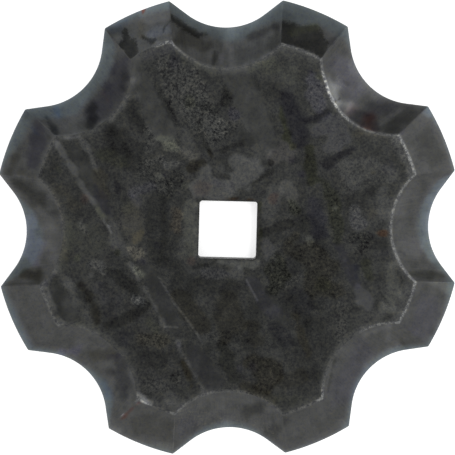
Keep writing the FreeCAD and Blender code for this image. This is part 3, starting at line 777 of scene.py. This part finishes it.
def add_node(tree, kind, settings=None, **links):
    """Adds a node and gives its first output; links name its inputs, each given a value or an
    output: _0 is the first input, and Base_Color the one of that name."""
    node = tree.nodes.new(kind)
    for name, value in (settings or {}).items():
        setattr(node, name, value)
    for name, value in links.items():
        place = int(name[1:]) if name[1:].isdigit() else name.replace("_", " ")
        socket = node.inputs[place]
        if isinstance(value, bpy.types.NodeSocket):
            tree.links.new(value, socket)
        else:
            socket.default_value = value
    return next((output for output in node.outputs if output.enabled), None)


# Rolled and hardened steel. The face has dark mottled mill scale with smooth streaks where it ran
# under the rolls; the bevel is ground bare and half bright, with a blued strip at the cutting edge
# and a worn line along the ridge that carries a painted highlight. The bright lines where the bevel's
# facets meet are painted highlights, and the facets' paler and darker tones are partly painted highlights
# and shade.
# To the eye it is a dull metal, a little glossier where ground.
steel = bpy.data.materials.new("rolled_steel")
steel.use_nodes = True
tree = steel.node_tree
tree.nodes.clear()

painted = {}
for name in LAYERS:
    node = tree.nodes.new("ShaderNodeAttribute")
    node.attribute_name = name
    painted[name] = node.outputs["Fac"]
coordinates = tree.nodes.new("ShaderNodeTexCoord").outputs["Object"]
place = add_node(tree, "ShaderNodeVectorMath", {"operation": "SCALE"}, _0=coordinates, Scale=1 / MM)

# Sizes of the patterns in millimetres. Mill scale has grains of about 0.1 mm and grinding leaves
# lines as fine: both are too fine to show, so they are drawn as coarse as they need to show.
GRAIN_SIZE = 1.8
CLOUD_SIZE = 9.0
RAGGED_SIZE = 3.0
LINE_WIDTH = 1.6
LINE_LENGTH = 9
SPECK_SIZE = 1.8
GRAIN_RELIEF = 0.08 * MM
NOISE = "ShaderNodeTexNoise"
MATH = "ShaderNodeMath"
REMAP = "ShaderNodeMapRange"
SMOOTH = {"interpolation_type": "SMOOTHSTEP"}
MULTIPLY, SUBTRACT = {"operation": "MULTIPLY"}, {"operation": "SUBTRACT"}
MULTIPLY_ADD, MAXIMUM = {"operation": "MULTIPLY_ADD"}, {"operation": "MAXIMUM"}
grain = add_node(tree, NOISE, Vector=place, Scale=1 / GRAIN_SIZE, Detail=3.0, Roughness=0.8)
cloud = add_node(tree, NOISE, Vector=place, Scale=1 / CLOUD_SIZE, Detail=4.0, Roughness=0.65)
ragged = add_node(tree, NOISE, Vector=place, Scale=1 / RAGGED_SIZE, Detail=4.0, Roughness=0.85)


def ragged_mask(depth, spread, soft):
    """1 inside a mark and 0 outside, with the border moved by the noise."""
    pushed = add_node(tree, MATH, MULTIPLY_ADD, _0=ragged, _1=spread, _2=-spread / 2)
    moved = add_node(tree, MATH, {"operation": "ADD"}, _0=depth, _1=pushed)
    return add_node(tree, REMAP, SMOOTH, _0=moved, _1=-soft, _2=soft, _3=0.0, _4=1.0)


dark = ragged_mask(painted["dark"], 9.0, 1.4)
run = ragged_mask(painted["run"], 3.0, 0.9)
# Seam: pale seams in the scale on the face, and painted highlights where the bevel's facets meet.
seam = ragged_mask(painted["seam"], 2.5, 0.7)
strip = ragged_mask(painted["strip"], 5.0, 3.0)

# The worn line along the ridge with a painted highlight on it, 1.9 mm wide and broken up by the grain into
# painted glints.
RIDGE_LINE_INSET, RIDGE_LINE_HALF = 1.0, 0.95
off_ridge = add_node(tree, MATH, SUBTRACT, _0=painted["across"], _1=BEVEL_WIDTH + RIDGE_LINE_INSET)
off_ridge = add_node(tree, MATH, {"operation": "ABSOLUTE"}, _0=off_ridge)
on_ridge = add_node(tree, MATH, SUBTRACT, _0=RIDGE_LINE_HALF, _1=off_ridge)
on_ridge = ragged_mask(on_ridge, 2.6, 0.8)
ridge_wear_and_highlight = add_node(tree, MATH, MULTIPLY, _0=on_ridge, _1=painted["worn"])
# Painted glints: the grain breaks the ridge's painted highlight into brighter and duller bits.
painted_ridge_glint = add_node(tree, REMAP, SMOOTH, _0=grain, _1=0.4, _2=0.62, _3=0.35, _4=1.25)
ridge_wear_and_highlight = add_node(tree, MATH, MULTIPLY, _0=ridge_wear_and_highlight, _1=painted_ridge_glint)

# The grain is strongest on the scale, and faint on ground steel and on the smooth streaks.
calm = add_node(tree, MATH, MAXIMUM, _0=run, _1=painted["ground"])
rough_grain = add_node(tree, REMAP, _0=calm, _1=0.0, _2=1.0, _3=1.0, _4=0.3)
coarse_grain = add_node(tree, MATH, MULTIPLY_ADD, _0=painted["coarse"], _1=1.3, _2=1.0)
grain_height = add_node(tree, MATH, MULTIPLY, _0=rough_grain, _1=coarse_grain)
centred = add_node(tree, MATH, SUBTRACT, _0=grain, _1=0.5)
grain_tone = add_node(tree, MATH, MULTIPLY, _0=centred, _1=grain_height)

# Grinding lines run straight up the bevel: the noise stays the same along them and fades slowly.
slide = add_node(tree, MATH, MULTIPLY, _0=painted["across"], _1=1 / LINE_LENGTH)
foot = add_node(tree, "ShaderNodeCombineXYZ", _0=painted["foot_x"], _1=painted["foot_y"], _2=slide)
lines = add_node(tree, NOISE, Vector=foot, Scale=1 / LINE_WIDTH, Detail=2.0, Roughness=0.6)
lines = add_node(tree, MATH, SUBTRACT, _0=lines, _1=0.5)
line_tone = add_node(tree, MATH, MULTIPLY, _0=lines, _1=painted["lined"])
dark_ground = add_node(tree, MATH, MULTIPLY, _0=dark, _1=painted["ground"])

# Soil has polished the cutting edge and rubbed the scale just inside the ridge.
across = painted["across"]
rim = add_node(tree, REMAP, SMOOTH, _0=across, _1=0.0, _2=8.0, _3=1.0, _4=0.0)
bright_edge = add_node(tree, REMAP, _0=across, _1=0.5, _2=2.5, _3=1.0, _4=0.0)
rubbed = add_node(tree, REMAP, SMOOTH, _0=across, _1=BEVEL_WIDTH + 1, _2=BEVEL_WIDTH + 7.5, _3=1.0, _4=0.0)
inside = add_node(tree, MATH, SUBTRACT, _0=1.0, _1=painted["ground"])
rubbed = add_node(tree, MATH, MULTIPLY, _0=rubbed, _1=inside)
flecks = add_node(tree, REMAP, SMOOTH, _0=grain, _1=0.56, _2=0.66, _3=0.0, _4=1.0)
flecked = add_node(tree, MATH, MULTIPLY, _0=flecks, _1=painted["fleck"])

# The grey of the scale in steps of 255, and how far each finish makes it paler or darker; the ridge line
# and the seams also add painted highlights, and the bevel's tone marks painted highlights and painted
# shade.
RAMP_END = 200
SCALE_GREY = 36
level = SCALE_GREY / RAMP_END
for finish, steps in ((rim, 11), (bright_edge, 12), (rubbed, 15), (dark_ground, -16),
                      (painted["ground"], 29), (painted["tone"], 1), (grain_tone, 62), (cloud, 34),
                      (ridge_wear_and_highlight, 42), (line_tone, 14), (dark, -14), (seam, 22), (strip, 18),
                      (flecked, 40)):
    level = add_node(tree, MATH, MULTIPLY_ADD, _0=finish, _1=steps / RAMP_END, _2=level)

ramp = tree.nodes.new("ShaderNodeValToRGB")
tree.links.new(level, ramp.inputs[0])
STEEL_GREYS = ["#000000", "#191919", "#313231", "#4a4b4a", "#636464", "#7c7e7e", "#959797", "#afb0b0",
               "#c8c9c9"]
stops = ramp.color_ramp.elements
for share in range(1, len(STEEL_GREYS) - 1):
    stops.new(share / (len(STEEL_GREYS) - 1))
for stop, grey in zip(stops, STEEL_GREYS):
    stop.color = srgb(grey)

# Stains and heat colours tint the grey, and the specks of the scale differ a little in hue.
speck_hue = add_node(tree, NOISE, Vector=place, Scale=1 / SPECK_SIZE, Detail=2.0, Roughness=0.7)
warm = add_node(tree, REMAP, _0=speck_hue, _1=0.52, _2=0.68, _3=0.0, _4=1.0)
cool = add_node(tree, REMAP, _0=speck_hue, _1=0.48, _2=0.32, _3=0.0, _4=1.0)
tint = {"data_type": "RGBA", "blend_type": "MULTIPLY"}
colour = ramp.outputs[0]
for amount, tinge in ((strip, "#e8f5fb"), (painted["brown"], "#fff5dc"), (painted["olive"], "#fbffe2"),
                      (painted["violet"], "#eae8ff"), (painted["sky"], "#d6e5ff"),
                      (painted["rust"], "#ffb0a0"), (warm, "#fffaee"), (cool, "#f5f3ff")):
    colour = add_node(tree, "ShaderNodeMix", tint, _0=amount, _6=colour, _7=srgb(tinge))
roughness = add_node(tree, REMAP, _0=calm, _1=0.0, _2=1.0, _3=0.5, _4=0.42)
relief = add_node(tree, MATH, MULTIPLY, _0=grain, _1=grain_height)
bump = add_node(tree, "ShaderNodeBump", Strength=1.0, Distance=GRAIN_RELIEF, Height=relief)
shader = add_node(tree, "ShaderNodeBsdfPrincipled", Base_Color=colour, Metallic=1.0, Roughness=roughness,
                  Normal=bump)
add_node(tree, "ShaderNodeOutputMaterial", Surface=shader)
blade_mesh.materials.append(steel)
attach(blade, "root")
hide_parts("disc_blade")


# ---- The floor ---------------------------------------------------------------------------
# A plain pale painted floor under the blade. It glows a little to the camera and in reflections,
# so that it shows white, and keeps the blade's shadow.
FLOOR_HALF = 3
FLOOR_GLOW = 0.6
floor_mesh = bpy.data.meshes.new("floor")
bm = bmesh.new()
bmesh.ops.create_grid(bm, x_segments=1, y_segments=1, size=FLOOR_HALF)
bm.to_mesh(floor_mesh)
bm.free()
floor = bpy.data.objects.new("floor", floor_mesh)
bpy.context.collection.objects.link(floor)
paint = bpy.data.materials.new("white_floor")
paint.use_nodes = True
tree = paint.node_tree
tree.nodes.clear()
rays = tree.nodes.new("ShaderNodeLightPath").outputs
diffuse = add_node(tree, "ShaderNodeBsdfDiffuse", Color=srgb("#e4e4e4"))
glow = add_node(tree, "ShaderNodeEmission", Color=srgb("#ffffff"), Strength=FLOOR_GLOW)
shown = add_node(tree, MATH, MAXIMUM, _0=rays["Is Camera Ray"], _1=rays["Is Glossy Ray"])
shown = add_node(tree, MATH, MAXIMUM, _0=shown, _1=rays["Is Transmission Ray"])
bright = add_node(tree, "ShaderNodeAddShader", _0=diffuse, _1=glow)
seen = add_node(tree, "ShaderNodeMixShader", _0=shown, _1=diffuse, _2=bright)
add_node(tree, "ShaderNodeOutputMaterial", Surface=seen)
floor_mesh.materials.append(paint)


# ---- Light and camera ----------------------------------------------------------------------
# A white room that is dimmer towards +Y, one soft box overhead and a weak strip behind it. The
# camera looks down from a few degrees off the blade's axis through a long lens.
world = bpy.data.worlds.new("studio")
world.use_nodes = True
tree = world.node_tree
tree.nodes.clear()
direction = tree.nodes.new("ShaderNodeTexCoord").outputs["Generated"]
split = tree.nodes.new("ShaderNodeSeparateXYZ")
tree.links.new(direction, split.inputs[0])
fade = add_node(tree, REMAP, SMOOTH, _0=split.outputs["Y"], _1=0.0, _2=0.75, _3=0.85, _4=0.35)
room = add_node(tree, "ShaderNodeBackground", Color=srgb("#ffffff"), Strength=fade)
add_node(tree, "ShaderNodeOutputWorld", Surface=room)
bpy.context.scene.world = world


def add_lamp(name, azimuth, polar, distance, size, watts, colour):
    """A square soft box that faces the blade's middle, at this azimuth and angle from straight up."""
    lamp = bpy.data.objects.new(name, bpy.data.lights.new(name, "AREA"))
    bpy.context.collection.objects.link(lamp)
    side, lean = math.radians(azimuth), math.radians(polar)
    towards = Vector((math.sin(lean) * math.cos(side), math.sin(lean) * math.sin(side), math.cos(lean)))
    lamp.location = towards * distance
    lamp.rotation_euler = towards.to_track_quat("Z", "Y").to_euler()
    lamp.data.size = size
    lamp.data.energy = watts
    lamp.data.color = srgb(colour)[:3]


add_lamp("key_box", 18, 24, 2.0, 0.45, 8, "#ffffff")
add_lamp("rear_strip", 112, 40, 2.0, 0.35, 2, "#f2f8ff")

camera = bpy.data.objects.new("camera", bpy.data.cameras.new("camera"))
bpy.context.collection.objects.link(camera)
CAMERA_DISTANCE = 2.3736
camera.data.sensor_width = 36
camera.data.lens = 264.84
aim = Vector((-0.0002, 0.00125, thickness / 2))
tilt, side, roll = math.radians(5.772), math.radians(100.816), math.radians(-0.362)
away = Vector((math.sin(tilt) * math.cos(side), math.sin(tilt) * math.sin(side), math.cos(tilt)))
camera.location = aim + away * CAMERA_DISTANCE
right = (-away).cross(Vector((0, 1, 0))).normalized()
up = right.cross(-away)
cos, sin = math.cos(roll), math.sin(roll)
right, up = right * cos + up * sin, up * cos - right * sin
camera.rotation_euler = Matrix((right, up, away)).transposed().to_euler()
bpy.context.scene.camera = camera
bpy.context.scene.view_settings.view_transform = "Standard"
